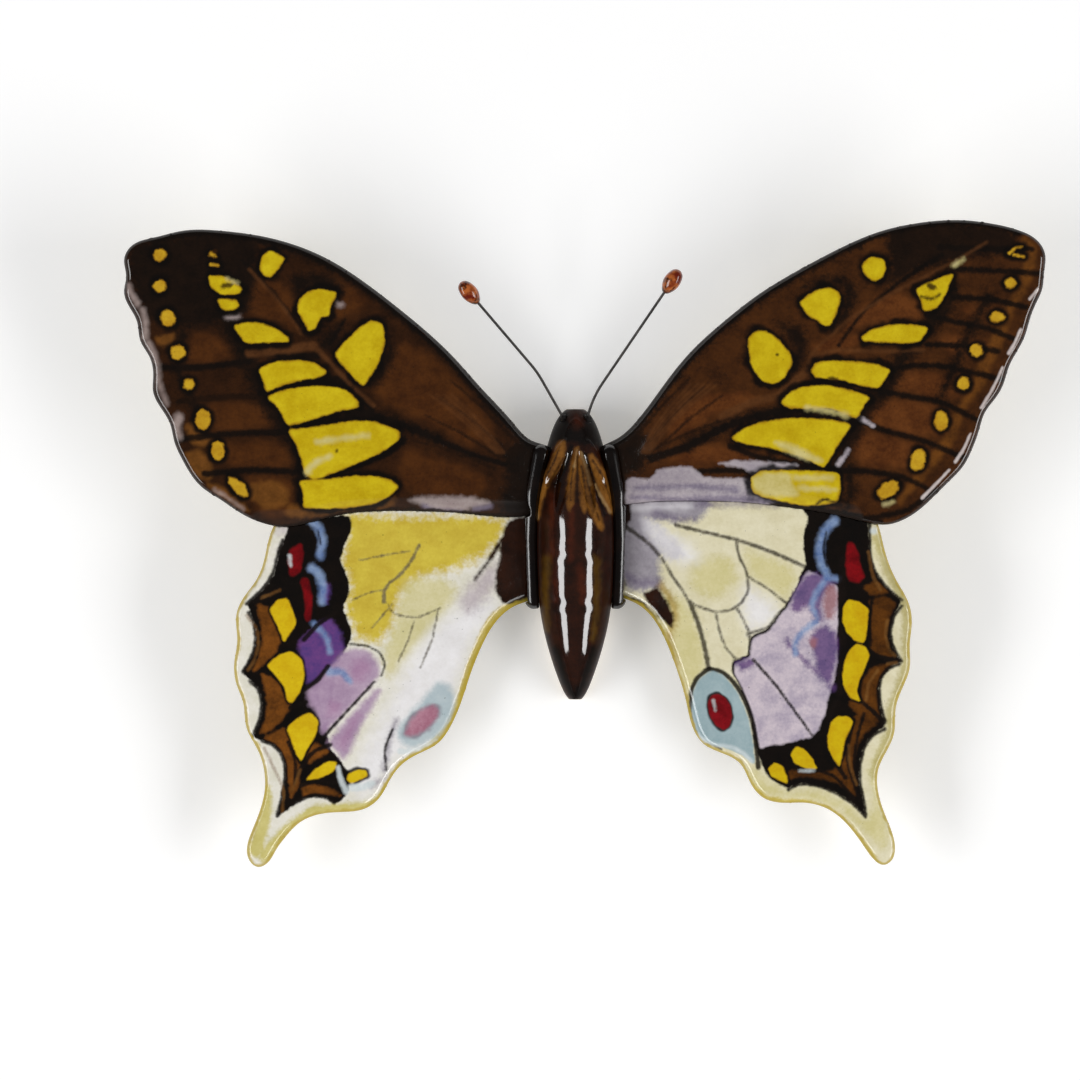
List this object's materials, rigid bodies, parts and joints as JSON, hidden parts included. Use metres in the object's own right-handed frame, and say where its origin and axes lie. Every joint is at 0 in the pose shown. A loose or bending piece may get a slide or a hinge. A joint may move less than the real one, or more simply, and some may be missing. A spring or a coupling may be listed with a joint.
{
  "type": "ceramic butterfly wall ornament",
  "caption": "Glazed earthenware swallowtail butterfly with wire antennae, to hang on a wall or lay on a table.",
  "frame": {"origin": "middle of the bottom of the bounding box, on the plane of the back plate", "axes": "+Z away from the wall or table, out of the painted face; +Y towards the head; +X to the right when the painted face is looked at"},
  "size_m": [0.1328, 0.0935, 0.0176],
  "materials": {
    "body_glaze": "gloss",
    "forewing_glaze": "gloss",
    "hindwing_glaze": "gloss",
    "club_glaze": "gloss",
    "bare_clay": "matte",
    "antenna_wire": "satin",
    "cement": "matte"
  },
  "bodies": {
    "root": {"body_shell": "body_glaze", "back_plate": "bare_clay", "left_forewing": "forewing_glaze", "right_forewing": "forewing_glaze", "left_hindwing": "hindwing_glaze", "right_hindwing": "hindwing_glaze", "left_root_coil": "body_glaze", "right_root_coil": "body_glaze", "left_antenna_wire": "antenna_wire", "right_antenna_wire": "antenna_wire", "left_antenna_club": "club_glaze", "right_antenna_club": "club_glaze", "left_antenna_cement": "cement", "right_antenna_cement": "cement"}
  },
  "joints": []
}
